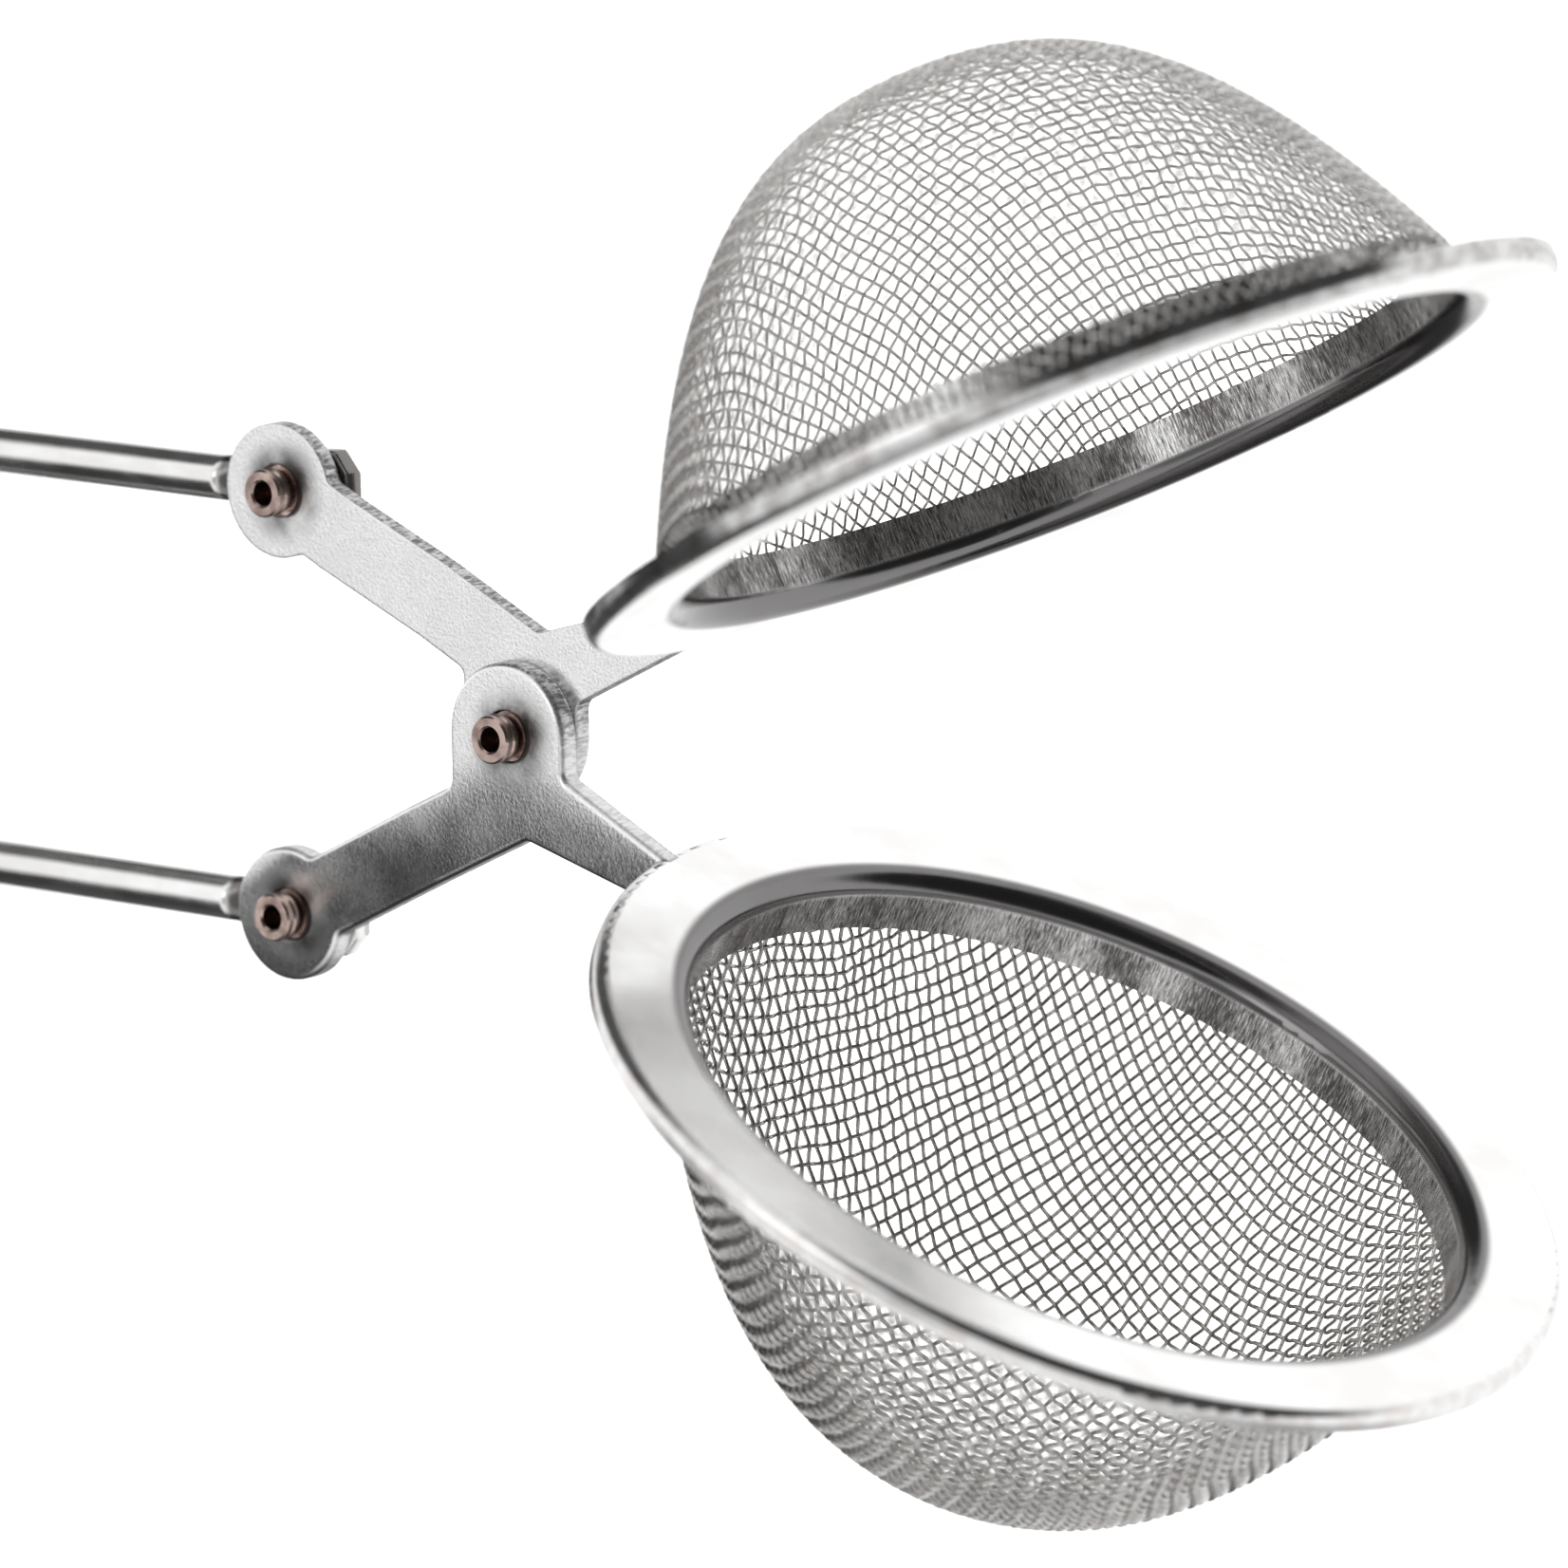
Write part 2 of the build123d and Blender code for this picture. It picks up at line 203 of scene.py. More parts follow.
def rim_metal(side):
    """Pale polished flange with painted shade in its bend and on its lip; inside the neck the
    drawing die left scratches along the axis, painted as dark and bright streaks of reflection.
    """
    mat, n = material("rim_steel_" + side)
    turn = OPEN_ANGLE * SIDES[side]
    on_jaw = n.add("ShaderNodeMapping", {"Vector": object_point(n), "Rotation": (0, turn, 0),
                                         "Location": (-JAW_REACH, -BOWL_Y, 0)})
    x, y, z = n.parts(on_jaw)
    depth = n.math("ABSOLUTE", z)
    around = n.math("MULTIPLY", n.math("ARCTAN2", y, x), NECK_RADIUS)
    radius = n.math("SQRT", n.math("ADD", n.math("MULTIPLY", x, x), n.math("MULTIPLY", y, y)))
    in_neck = n.math("MULTIPLY", n.beyond(depth, NECK_STARTS, 0.2 * MM),
                     n.within(radius, NECK_BACK_RADIUS, 0.15 * MM))

    fine = n.noise(n.vector(around, n.math("MULTIPLY", depth, 0.10), 0.0), 9500, 3.0, 0.75)
    broad = n.noise(n.vector(around, n.math("MULTIPLY", depth, 0.25), 0.3), 260, 2.0, 0.5)
    streaks = n.math("ADD", n.math("MULTIPLY", fine, 0.6), n.math("MULTIPLY", broad, 0.4))
    streak_share = n.step(streaks, 0.42, 0.63)
    cloud = n.noise(object_point(n), 140, 3.0, 0.6)
    grain = n.noise(object_point(n), 5200, 2.0, 0.6)

    flange_colour = n.colour(n.step(cloud, 0.35, 0.7), grey(0.97), grey(0.88, 1.01, 0.99))
    # Painted shade: the bend between the flange and the neck is painted dark.
    bend_shade = n.math("MULTIPLY", n.within(radius, BEND_OUTER_RADIUS, 0.3 * MM),
                     n.within(depth, NECK_STARTS - 0.05 * MM, 0.15 * MM))
    flange_colour = n.colour(n.math("MULTIPLY", bend_shade, 0.92), flange_colour, grey(0.14, 1.04))
    # Painted shade: the lip is painted a darker, mottled grey.
    lip_mottle = n.step(n.noise(object_point(n), 700, 3.0, 0.65), 0.35, 0.62)
    on_lip = n.beyond(radius, LIP_RADIUS, 0.2 * MM)
    lip_shade_tone = LIP_SHADE_TONE[side]
    lip_colour = n.colour(lip_mottle, grey(lip_shade_tone, 1.04, 0.98), grey(0.5 + lip_shade_tone / 2))
    flange_colour = n.colour(on_lip, flange_colour, lip_colour)
    # Partly real, partly painted reflection: the die's scratches along the axis, painted as
    # near-black and bright streaks.
    neck_colour = n.colour(streak_share, grey(0.12, 1.08, 0.96), grey(0.95))
    colour = n.colour(in_neck, flange_colour, neck_colour)
    flange_rough = n.step(cloud, 0.3, 0.75, 0.13, 0.24)
    roughness = n.mix(in_neck, flange_rough, n.step(streaks, 0.35, 0.65, 0.34, 0.16))
    height = n.math("ADD", n.math("MULTIPLY", n.math("MULTIPLY", streaks, in_neck), 0.5),
                    n.math("MULTIPLY", grain, 0.08))
    metal(n, colour, roughness, n.bump(height, 0.5, 0.05 * MM))
    return mat


def plate_metal():
    """Satin sheet faces with a fine grain; the sheared outline is rough and darker."""
    mat, n = material("plate_steel")
    point = object_point(n)
    x, y, z = n.parts(point)
    rounding = n.add("ShaderNodeBevel", {"Radius": 0.28 * MM}, samples=6)
    across, facing, upward = n.parts(rounding)
    on_face = n.step(n.math("ABSOLUTE", facing), 0.45, 0.9)
    grain = n.noise(point, 5200, 3.0, 0.65)
    cloud = n.noise(point, 260, 4.0, 0.6)
    tears = n.noise(n.vector(x, n.math("MULTIPLY", y, 0.25), z), 4600, 3.0, 0.7)
    # Painted shade lies in a cloudy patch beside each rivet, a painted reflection of the rivet, and
    # in a sharp ring at its head, a painted shadow of the gap in the hole.
    rivet_shade = n.math("MULTIPLY", beside_rivets(n, x, z, 3.7, 1.6), n.step(cloud, 0.25, 0.65))
    rivet_shade = n.math("MAXIMUM", rivet_shade, beside_rivets(n, x, z, 1.75, 1.5))
    face_colour = n.colour(n.step(grain, 0.3, 0.75), grey(0.88), grey(0.99))
    face_colour = n.colour(rivet_shade, face_colour, grey(0.10, 1.05, 0.98))
    edge_colour = n.colour(n.step(tears, 0.38, 0.62), grey(0.20, 1.03), grey(0.62))
    # Painted light: the sheared outline is painted lighter towards the lower plate.
    edge_colour = n.colour(n.step(z, 3 * MM, -2 * MM, 0.0, 0.7), edge_colour, grey(0.93))
    face_rough = n.math("ADD", n.step(cloud, 0.3, 0.7, 0.14, 0.24),
                        n.math("MULTIPLY", grain, 0.08))
    face_rough = n.mix(beside_rivets(n, x, z, 3.6, 2.2), face_rough, 0.34)
    colour = n.colour(on_face, edge_colour, face_colour)
    # Painted shade: the rounded border of a face is dark where it turns down or towards the handle.
    low_side = n.math("ADD", n.math("MULTIPLY", across, -0.5), n.math("MULTIPLY", upward, -0.85))
    rounded = n.step(n.math("ABSOLUTE", facing), 0.97, 0.85)
    shaded = n.math("MULTIPLY", n.step(low_side, -0.1, 0.35), rounded)
    colour = n.colour(n.math("MULTIPLY", shaded, 0.85), colour, grey(0.14, 1.05))
    roughness = n.mix(on_face, n.step(tears, 0.35, 0.65, 0.50, 0.30), face_rough)
    height = n.mix(on_face, n.math("MULTIPLY", tears, 2.5), n.math("MULTIPLY", grain, 0.9))
    metal(n, colour, roughness, n.bump(height, 0.35, 0.06 * MM, flattened(n, rounding, x, z)))
    return mat


def beside_rivets(n, x, z, far, near):
    """1 within the near distance of a rivet and 0 beyond the far one, in millimetres."""
    x = n.math("SUBTRACT", x, RIVET_ZONE_SHIFT)
    ear_x = n.math("SUBTRACT", x, EAR_X)
    ear_z = n.math("SUBTRACT", n.math("ABSOLUTE", z), EAR_Z)
    to_ear = n.math("SQRT", n.math("ADD", n.math("MULTIPLY", ear_x, ear_x),
                                   n.math("MULTIPLY", ear_z, ear_z)))
    to_pivot = n.math("SQRT", n.math("ADD", n.math("MULTIPLY", x, x), n.math("MULTIPLY", z, z)))
    return n.step(n.math("MINIMUM", to_ear, to_pivot), far * MM, near * MM)


def flattened(n, normal, x, z):
    """Normal of a plate: the arm's shallow step reads as one face, bowed towards its low edge."""
    steep = n.step(x, -0.5 * MM, 0.5 * MM, EAR_Z / -EAR_X, math.tan(OPEN_ANGLE))
    above_arm = n.math("ADD", z, n.math("MULTIPLY", n.math("ABSOLUTE", x), steep))
    edge_roll = n.math("MULTIPLY", n.step(above_arm, 1.8 * MM, -3.2 * MM), n.step(z, 0, -3 * MM))
    droop = n.step(z, -3 * MM, -11 * MM)
    bow = n.math("ADD", n.math("MULTIPLY", edge_roll, EDGE_BOW),
                 n.math("MULTIPLY", droop, DROOP_BOW))
    bow = n.math("MULTIPLY", bow, n.step(above_arm, 4.6 * MM, 3.0 * MM))
    facing = n.parts(normal)[1]
    on_flat = n.step(n.math("ABSOLUTE", facing), 0.93, 0.97)
    push = n.math("MULTIPLY", n.math("SIGN", facing), n.math("MULTIPLY", on_flat, FLATTENING))
    tilt = n.vector(0.0, push, n.math("MULTIPLY", bow, on_flat))
    pushed = n.add("ShaderNodeVectorMath", {0: normal, 1: tilt})
    return n.add("ShaderNodeVectorMath", {0: pushed}, operation="NORMALIZE")


def rivet_metal():
    """Brown, copper-toned turned steel."""
    mat, n = material("rivet_steel")
    point = object_point(n)
    along = n.parts(point)[1]
    rings = n.noise(n.vector(0.0, along, 0.0), 9000, 2.0, 0.6)
    cloud = n.noise(point, 900, 2.0, 0.5)
    share = n.math("MULTIPLY", n.step(cloud, 0.3, 0.7), n.step(rings, 0.3, 0.7, 0.5, 1.0))
    colour = n.colour(share, (0.31, 0.225, 0.20, 1), (0.64, 0.50, 0.45, 1))
    roughness = n.step(cloud, 0.3, 0.7, 0.30, 0.17)
    metal(n, colour, roughness, n.bump(rings, 0.3, 0.03 * MM))
    return mat


def wire_metal():
    """Polished drawn wire with faint lines along it and a few smudges; painted shade darkens a band
    near each paddle and the upper paddle's tip.
    """
    mat, n = material("wire_steel")
    x, y, z = n.parts(object_point(n))
    lines = n.noise(n.vector(n.math("MULTIPLY", x, 0.03), y, z), 5200, 2.0, 0.6)
    smudge = n.noise(n.vector(n.math("MULTIPLY", x, 0.35), y, z), 500, 4.0, 0.6)
    colour = n.colour(n.step(smudge, 0.35, 0.7), grey(0.80, 1.01, 0.98), grey(0.95))
    # Painted shade: a dark band across each leg where the wire narrows into its paddle.
    crimp = n.math("MULTIPLY", n.beyond(x, EAR_X - CRIMP_SHADE_FAR, 0.2 * MM),
                   n.within(x, EAR_X - CRIMP_SHADE_NEAR, 0.2 * MM))
    # Painted shade: the upper paddle's tip beside its ear is painted dark.
    tip = n.math("MULTIPLY", n.beyond(x, EAR_X + 2.45 * MM, 0.25 * MM), n.step(z, 0, MM))
    colour = n.colour(n.math("MAXIMUM", crimp, tip), colour, grey(0.20, 1.05, 0.97))
    roughness = n.math("ADD", n.step(smudge, 0.35, 0.7, 0.11, 0.20),
                       n.math("MULTIPLY", lines, 0.05))
    metal(n, colour, roughness, n.bump(lines, 0.25, 0.03 * MM))
    return mat


def strand_metal(side):
    """Thin bright strands, uneven in tone; painted shade darkens their undersides towards the
    handle and every strand that faces into the bowl.
    """
    mat, n = material("mesh_steel_" + side)
    point = object_point(n)
    sign = SIDES[side]
    axis = Vector((-math.sin(OPEN_ANGLE), 0, sign * math.cos(OPEN_ANGLE)))
    middle = Vector((JAW_REACH * math.cos(OPEN_ANGLE), BOWL_Y,
                     sign * JAW_REACH * math.sin(OPEN_ANGLE))) + axis * 4 * MM
    outward = n.add("ShaderNodeVectorMath", {0: point, 1: tuple(middle)}, operation="SUBTRACT")
    outward = n.add("ShaderNodeVectorMath", {0: outward}, operation="NORMALIZE")
    normal = n.add("ShaderNodeTexCoord", output=1)
    facing = n.add("ShaderNodeVectorMath", {0: outward, 1: normal}, output=1,
                   operation="DOT_PRODUCT")
    outside = n.step(facing, -0.25, 0.35)
    to_handle = n.add("ShaderNodeVectorMath", {0: outward, 1: TO_HANDLE}, output=1,
                      operation="DOT_PRODUCT")
    # Painted shade: downward sides of the strands on the handle side are painted dark.
    shaded = n.math("MULTIPLY", n.step(n.parts(normal)[2], 0.35, -0.15),
                    n.step(to_handle, 0.50, 0.80))
    tone = n.noise(point, 420, 3.0, 0.65)
    grain = n.noise(point, 7000, 2.0, 0.6)
    share = n.math("ADD", n.math("MULTIPLY", n.step(tone, 0.3, 0.7), 0.6),
                   n.math("MULTIPLY", n.step(grain, 0.35, 0.65), 0.4))
    outside_tone = n.colour(share, grey(0.66, 1.03, 0.98), grey(0.96, 1.01, 0.99))
    # Painted shade: strands facing into the bowl are painted darker.
    inside_shade = n.colour(share, grey(0.40, 1.05, 0.95), grey(0.64, 1.03, 0.97))
    outside_tone = n.colour(n.math("MULTIPLY", shaded, 0.9), outside_tone, grey(0.13, 1.08, 0.95))
    metal(n, n.colour(outside, inside_shade, outside_tone), n.step(grain, 0.3, 0.7, 0.10, 0.22))
    return mat


# ------------------------------------------------------------------ mesh helper

def make_object(name, points, faces, mat):
    """A smooth-shaded mesh object from an array of points and an array of quads."""
    mesh = bpy.data.meshes.new(name)
    mesh.vertices.add(len(points))
    mesh.vertices.foreach_set("co", np.asarray(points, np.float32).ravel())
    mesh.loops.add(faces.size)
    mesh.loops.foreach_set("vertex_index", faces.astype(np.int32).ravel())
    mesh.polygons.add(len(faces))
    starts = np.arange(0, faces.size, faces.shape[1], dtype=np.int32)
    mesh.polygons.foreach_set("loop_start", starts)
    mesh.polygons.foreach_set("use_smooth", np.ones(len(faces), bool))
    mesh.update(calc_edges=True)
    mesh.materials.append(mat)
    made = bpy.data.objects.new(name, mesh)
    bpy.context.scene.collection.objects.link(made)
    return made


def tube_faces(rings, around, first=0):
    """Quads joining neighbouring rings of points."""
    ring = np.arange(rings - 1)[:, None] * around
    step = np.arange(around)[None, :]
    after = (step + 1) % around
    quads = np.stack([ring + step, ring + after, ring + around + after, ring + around + step], -1)
    return quads.reshape(-1, 4) + first


# ------------------------------------------------------------------ woven bowls

def bowl_profile():
    """Arc length, radius and height along the bowl, from its apex to the flange."""
    share = np.linspace(0, 1, 400)
    radius = np.append(WEAVE_RADIUS * share, WEAVE_RADIUS)
    height = NECK_DEPTH + (WEAVE_APEX - NECK_DEPTH) * (1 - share ** DOME_FULLNESS)
    height = np.append(height, NECK_ROUND)
    steps = np.hypot(np.diff(radius), np.diff(height))
    arc = np.append(0, np.cumsum(steps))
    lean = np.arctan2(-np.gradient(height, arc), np.gradient(radius, arc))
    return arc, radius, height, lean


ARC, ARC_RADIUS, ARC_HEIGHT, ARC_LEAN = bowl_profile()


def drape(flat_points, side):
    """Lays flat cloth points over a bowl; gives each point and the outward normal."""
    reach = np.hypot(flat_points[:, 0], flat_points[:, 1])
    turn = np.arctan2(flat_points[:, 1], flat_points[:, 0]) + WEAVE_TURN[side]
    radius = np.interp(reach, ARC, ARC_RADIUS)
    height = np.interp(reach, ARC, ARC_HEIGHT)
    lean = np.interp(reach, ARC, ARC_LEAN)
    pull = DOME_LEAN[side] * np.maximum(height - NECK_DEPTH, 0) / (WEAVE_APEX - NECK_DEPTH)
    point = np.stack([radius * np.cos(turn) + pull, radius * np.sin(turn), height], -1)
    outward = np.stack([np.sin(lean) * np.cos(turn), np.sin(lean) * np.sin(turn), np.cos(lean)], -1)
    return point, outward


def wander(points, waves):
    """A gentle unevenness of the cloth, shared by both directions of strand."""
    shift = np.zeros_like(points)
    for kx, ky, phase, dx, dy in waves:
        wave = np.sin(points[:, 0] * kx + points[:, 1] * ky + phase)
        shift += wave[:, None] * np.array([dx, dy])
    return points + shift


def cloth_waves():
    """Random waves of the cloth: direction and number, phase, and the push they give."""
    waves = []
    for length, amount in WAVE_SIZES:
        for _ in range(3):
            heading = random.uniform(0, 2 * math.pi)
            push = random.uniform(0, 2 * math.pi)
            k = 2 * math.pi / (length * MM)
            waves.append((k * math.cos(heading), k * math.sin(heading),
                          random.uniform(0, 2 * math.pi),
                          amount * MM * math.cos(push), amount * MM * math.sin(push)))
    return waves


def strand_line(index, family, side):
    """Middle line of one strand, crimped over and under the strands that cross it."""
    across = index * WEAVE_PITCH
    half = math.sqrt(max(ARC[-1] ** 2 - across ** 2, 0))
    count = int(half / WEAVE_PITCH * STATIONS_PER_PITCH)
    if count < 4:
        return None
    along = (np.arange(-count, count + 1) + 0.5) * WEAVE_PITCH / STATIONS_PER_PITCH
    along = along[np.abs(along) < half]
    sway = random.normal(0, LONE_SWAY) + SLOW_SWAY * np.sin(along / (3 * MM) + index)
    flat = np.stack([along, across + sway], -1)
    if family:
        flat = flat[:, ::-1]
    point, normal = drape(wander(flat, WAVES[side]), side)
    crimp = np.cos(math.pi * along / WEAVE_PITCH + math.pi * index) * (1 - 2 * family)
    return point + normal * crimp[:, None] * STRAND_RADIUS[side] * CRIMP_LIFT, normal


def sweep_strand(line, normal, radius):
    """Points of a round strand along a line."""
    ahead = np.gradient(line, axis=0)
    ahead /= np.linalg.norm(ahead, axis=1, keepdims=True)
    side = np.cross(ahead, normal)
    side /= np.linalg.norm(side, axis=1, keepdims=True)
    top = np.cross(side, ahead)
    turn = np.arange(STRAND_SIDES) * 2 * math.pi / STRAND_SIDES
    ring = (np.cos(turn)[None, :, None] * side[:, None, :]
            + np.sin(turn)[None, :, None] * top[:, None, :])
    return (line[:, None, :] + ring * radius).reshape(-1, 3)


def onto_jaw(points, side):
    """Carries points from a bowl's own axes to the open jaw."""
    sign = SIDES[side]
    x, y, z = points[:, 0] + JAW_REACH, points[:, 1] + BOWL_Y, points[:, 2]
    c, s = math.cos(OPEN_ANGLE), math.sin(OPEN_ANGLE)
    return np.stack([x * c - z * s, y, sign * (x * s + z * c)], -1)


def weave(side, family, mat):
    """All strands of one direction of one bowl, as one piece."""
    most = int(ARC[-1] / WEAVE_PITCH)
    points, faces, used = [], [], 0
    for index in range(-most, most + 1):
        made = strand_line(index, family, side)
        if made is None:
            continue
        swept = sweep_strand(*made, STRAND_RADIUS[side])
        points.append(swept)
        faces.append(tube_faces(len(made[0]), STRAND_SIDES, used))
        used += len(swept)
    name = f"{side}_weave_{'weft' if family else 'warp'}"
    faces = np.concatenate(faces)
    if SIDES[side] > 0:
        faces = faces[:, ::-1]
    piece = make_object(name, onto_jaw(np.concatenate(points), side), faces, mat)
    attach(piece, side + "_jaw")
    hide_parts(side + "_mesh_bowl")


WAVES = {side: cloth_waves() for side in SIDES}


# ------------------------------------------------------------------ handle wire

def pressed_section(distance):
    """Half width, half thickness and squareness of the wire, by distance from the rivet."""
    width = np.interp(distance, (PADDLE_TIP, PADDLE_SHOULDER), (TIP_HALF_WIDTH, PADDLE_HALF_WIDTH))
    share = min(max((distance - PADDLE_ROOT) / (WIRE_START - PADDLE_ROOT), 0), 1)
    narrowing = (1 - share) ** 3
    width = min(width, WIRE_RADIUS + (PADDLE_HALF_WIDTH - WIRE_RADIUS) * narrowing)
    thick = PADDLE_HALF_THICK + (WIRE_RADIUS - PADDLE_HALF_THICK) * share ** 3
    return width, thick, 2 + PADDLE_SQUARENESS * (1 - share) ** 2


def wire_stations():
    """Path of the U-shaped wire from the lower paddle's tip to the upper one's.

    Each station: point in the XZ plane, heading, half width, half thickness and
    how square the section is.
    """
    run = EAR_X - BEND_X
    slope = math.atan2(EAR_Z, run) - math.asin(BEND_RADIUS / math.hypot(run, EAR_Z))
    length = math.sqrt(run ** 2 + EAR_Z ** 2 - BEND_RADIUS ** 2)
    pressed = np.linspace(PADDLE_TIP, FINE_END, FINE_STATIONS)
    plain = np.linspace(PLAIN_START, length, PLAIN_STATIONS)
    leg = [(d, pressed_section(d)) for d in np.concatenate([pressed, plain])]
    stations = []
    for d, section in leg:
        point = (EAR_X - d * math.cos(slope), -(EAR_Z - d * math.sin(slope)))
        stations.append((point, math.pi - slope, *section))
    first = math.pi / 2 + slope
    for turn in np.linspace(-first, first - 2 * math.pi, BEND_STATIONS)[1:-1]:
        point = (BEND_X + BEND_RADIUS * math.cos(turn), BEND_RADIUS * math.sin(turn))
        stations.append((point, turn - math.pi / 2, WIRE_RADIUS, WIRE_RADIUS, 2))
    for d, section in reversed(leg):
        point = (EAR_X - d * math.cos(slope), EAR_Z - d * math.sin(slope))
        stations.append((point, slope, *section))
    return stations


def handle_wire(mat):
    turn = np.arange(WIRE_POINTS) * 2 * math.pi / WIRE_POINTS
    rings = []
    for (x, z), heading, half_width, half_thick, square in wire_stations():
        across = (-math.sin(heading), math.cos(heading))
        power = 2 / square
        wide = np.sign(np.cos(turn)) * np.abs(np.cos(turn)) ** power * half_width
        thick = np.sign(np.sin(turn)) * np.abs(np.sin(turn)) ** power * half_thick
        rings.append(np.stack([x + across[0] * wide, WIRE_Y + thick, z + across[1] * wide], -1))
    points = np.concatenate(rings)
    piece = make_object("handle_wire", points, tube_faces(len(rings), WIRE_POINTS), mat)
    mesh = piece.data
    work = bmesh.new()
    work.from_mesh(mesh)
    bmesh.ops.holes_fill(work, edges=[e for e in work.edges if e.is_boundary], sides=0)
    bmesh.ops.recalc_face_normals(work, faces=work.faces)
    work.to_mesh(mesh)
    work.free()
    drill(piece)
    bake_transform(piece)
    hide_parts("lower_handle_wire", "upper_handle_wire")


def drill(piece):
    """Drills the rivet holes through both paddles."""
    for side in SIDES.values():
        bpy.ops.mesh.primitive_cylinder_add(vertices=48, radius=HOLE_RADIUS, depth=6 * MM,
                                            location=(EAR_X, WIRE_Y, side * EAR_Z),
                                            rotation=(math.pi / 2, 0, 0))
        cutter = bpy.context.object
        cut = piece.modifiers.new("drill", "BOOLEAN")
        cut.object = cutter
        cut.operation = "DIFFERENCE"
        bpy.context.view_layer.objects.active = piece
        bpy.ops.object.modifier_apply(modifier=cut.name)
        bpy.data.objects.remove(cutter)
    bpy.ops.object.select_all(action="DESELECT")
    piece.select_set(True)
    bpy.context.view_layer.objects.active = piece
    bpy.ops.object.shade_auto_smooth(angle=SMOOTH_ANGLE)
    for modifier in list(piece.modifiers):
        bpy.ops.object.modifier_apply(modifier=modifier.name)


# ------------------------------------------------------------------ studio

AZIMUTH, ELEVATION, ROLL = math.radians(39.67), math.radians(10.62), math.radians(-0.8)
DISTANCE = 700 * MM
TARGET = Vector((20.32, 0, -0.86)) * MM
SENSOR, LENS, STOP = 36, 275, 28    # millimetres, millimetres, f-number
FOCUS_AHEAD = 1 * MM                # the focal plane lies this far in front of the pivot
WHITE = 1.9                         # how far the backdrop is overexposed
FLOOR_Z, FLOOR_HALF_SIDE = -0.13, 3.0
SOFTBOX_PLACE, SOFTBOX_AIM = Vector((0.01, -0.33, 0.095)), Vector((0.03, 0, 0))
SOFTBOX_SIZE, SOFTBOX_POWER = (0.20, 0.12), 0.06

# Dark places around the part: heading, where the darkening starts and is full
# (cosines of the angle to the heading), and the light left there.
DARK_PLACES = (
    ((0.10, 0.15, -1.00), 0.72, 0.92, 0.35),        # table below
    ((0.80, -0.20, 0.52), 0.60, 0.76, 0.05),        # room behind the camera
    ((-0.62, 0.10, 0.77), 0.80, 0.93, 0.08),        # gap over the left side
    ((-0.48, 0.05, -0.87), 0.72, 0.88, 0.08),       # table edge at the left
    ((-0.80, -0.38, -0.46), 0.885, 0.950, 0.04),    # stand at the left
    ((-0.85, 0.42, -0.32), 0.915, 0.975, 0.08),     # stand at the left, farther back
    ((0.12, -0.98, -0.14), 0.925, 0.975, 0.42),     # under the softbox
)


def camera_axes():
    sa, ca = math.sin(AZIMUTH), math.cos(AZIMUTH)
    se, ce = math.sin(ELEVATION), math.cos(ELEVATION)
    back = Vector((sa * ce, -ca * ce, se))
    right = Vector((ca, sa, 0))
    up = back.cross(right)
    level = math.cos(ROLL) * right + math.sin(ROLL) * up
    upright = -math.sin(ROLL) * right + math.cos(ROLL) * up
    return level, upright, back


def add_camera():
    right, up, back = camera_axes()
    data = bpy.data.cameras.new("camera")
    data.sensor_width, data.lens = SENSOR, LENS
    data.clip_start, data.clip_end = 0.01, 20
    camera = bpy.data.objects.new("camera", data)
    turn = Matrix((right, up, back)).transposed().to_4x4()
    camera.matrix_world = Matrix.Translation(TARGET + back * DISTANCE) @ turn
    bpy.context.scene.collection.objects.link(camera)
    bpy.context.scene.camera = camera
    focus = bpy.data.objects.new("focus", None)
    focus.location = TARGET + back * (FOCUS_AHEAD - TARGET.dot(back))
    bpy.context.scene.collection.objects.link(focus)
    data.dof.use_dof = True
    data.dof.focus_object = focus
    data.dof.aperture_fstop = STOP


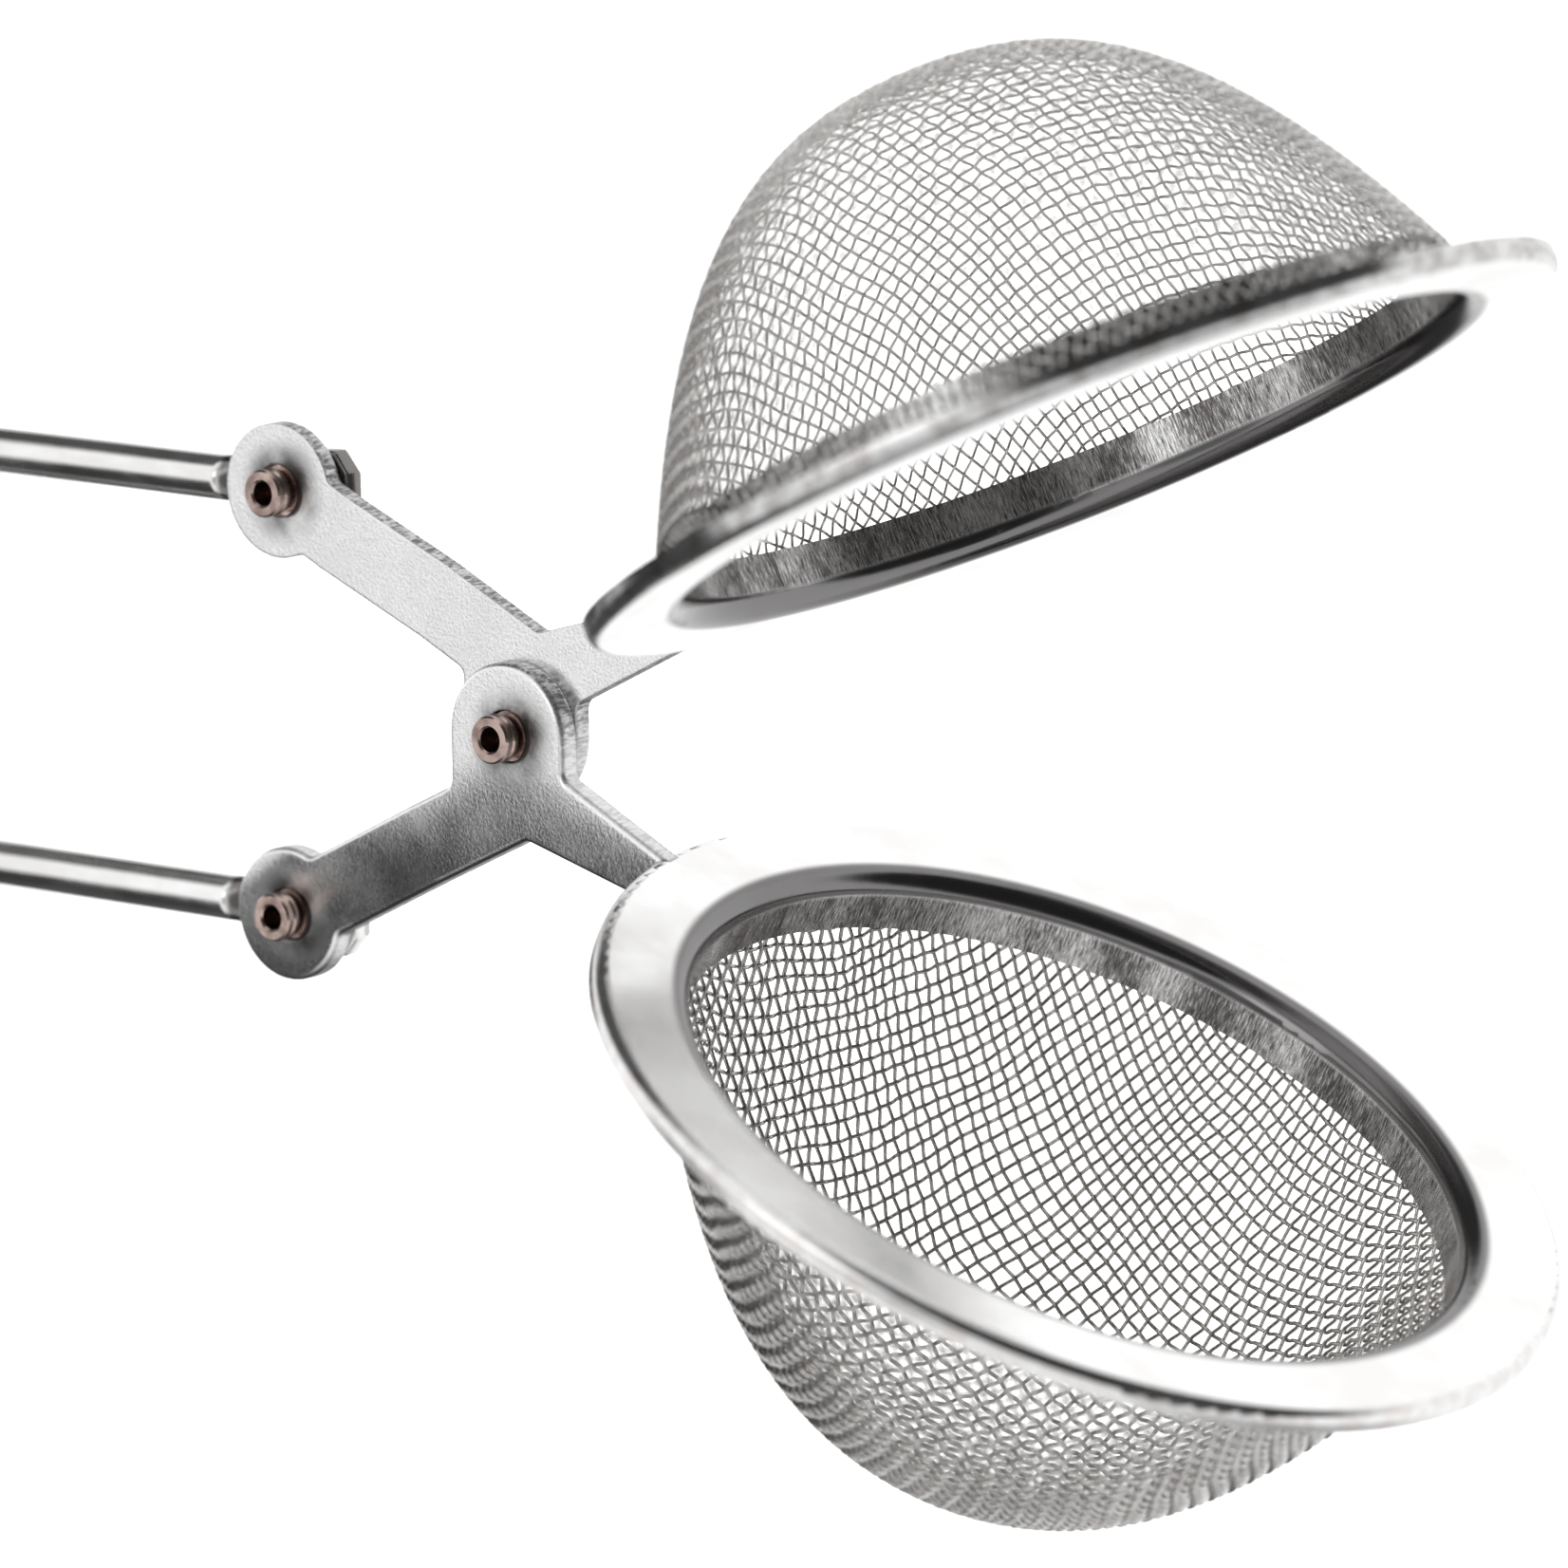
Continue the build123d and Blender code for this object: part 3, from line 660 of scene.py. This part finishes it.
def add_world():
    """Overexposed white behind, and an all-round light with the dark places cut out of it."""
    world = bpy.data.worlds.new("studio")
    bpy.context.scene.world = world
    world.use_nodes = True
    n = Nodes(world.node_tree)
    direction = n.add("ShaderNodeTexCoord", output=0)
    back = camera_axes()[2]

    def towards(vector):
        return n.add("ShaderNodeVectorMath", {0: direction, 1: tuple(vector)}, output=1,
                     operation="DOT_PRODUCT")

    def lobe(vector, low, high):
        return n.step(towards(vector.normalized()), low, high)

    backdrop = lobe(-back, -0.45, 0.1)
    light = n.mix(backdrop, 0.95, 1.1)
    for heading, low, high, level in DARK_PLACES:
        light = n.mix(lobe(Vector(heading), low, high), light, level)
    seen = n.add("ShaderNodeLightPath", output=0)
    strength = n.mix(seen, light, WHITE)
    shader = n.add("ShaderNodeBackground", {"Color": (1, 1, 1, 1), "Strength": strength})
    n.add("ShaderNodeOutputWorld", {"Surface": shader}, output=None)


def add_softbox():
    """A small lamp above and beside the camera, for the glints on the necks and lips."""
    data = bpy.data.lights.new("softbox", "AREA")
    data.shape = "RECTANGLE"
    data.size, data.size_y = SOFTBOX_SIZE
    data.energy = SOFTBOX_POWER
    lamp = bpy.data.objects.new("softbox", data)
    lamp.location = SOFTBOX_PLACE
    lamp.rotation_mode = "QUATERNION"
    lamp.rotation_quaternion = (SOFTBOX_PLACE - SOFTBOX_AIM).to_track_quat("Z", "Y")
    lamp.visible_camera = False
    bpy.context.scene.collection.objects.link(lamp)


def add_floor():
    """A wide white square well below the part; bright enough to show no shadow."""
    corners = ((-1, -1), (1, -1), (1, 1), (-1, 1))
    points = np.array([(x * FLOOR_HALF_SIDE, y * FLOOR_HALF_SIDE, FLOOR_Z) for x, y in corners])
    mat, n = material("floor")
    shader = n.add("ShaderNodeEmission", {"Color": grey(1.0), "Strength": WHITE})
    n.add("ShaderNodeOutputMaterial", {"Surface": shader}, output=None)
    floor = make_object("floor", points, np.array([[0, 1, 2, 3]]), mat)
    floor.visible_glossy = False
    floor.visible_diffuse = False
    floor.visible_shadow = False


# ------------------------------------------------------------------ assembly

def dress_cad():
    """Gives every CAD node that stays in view its own metal."""
    plates, rivets = plate_metal(), rivet_metal()
    looks = {"pivot_rivet": rivets, "lower_handle_rivet": rivets, "upper_handle_rivet": rivets}
    for side in SIDES:
        looks[side + "_rim"] = rim_metal(side)
        looks[side + "_lever_plate"] = plates
    for name, mat in looks.items():
        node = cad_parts[name]
        node.data.materials.clear()
        node.data.materials.append(mat)


dress_cad()
for side in SIDES:
    strands = strand_metal(side)
    for family in (0, 1):
        weave(side, family, strands)
handle_wire(wire_metal())
add_world()
add_floor()
add_softbox()
add_camera()
bpy.context.scene.view_settings.view_transform = "Standard"
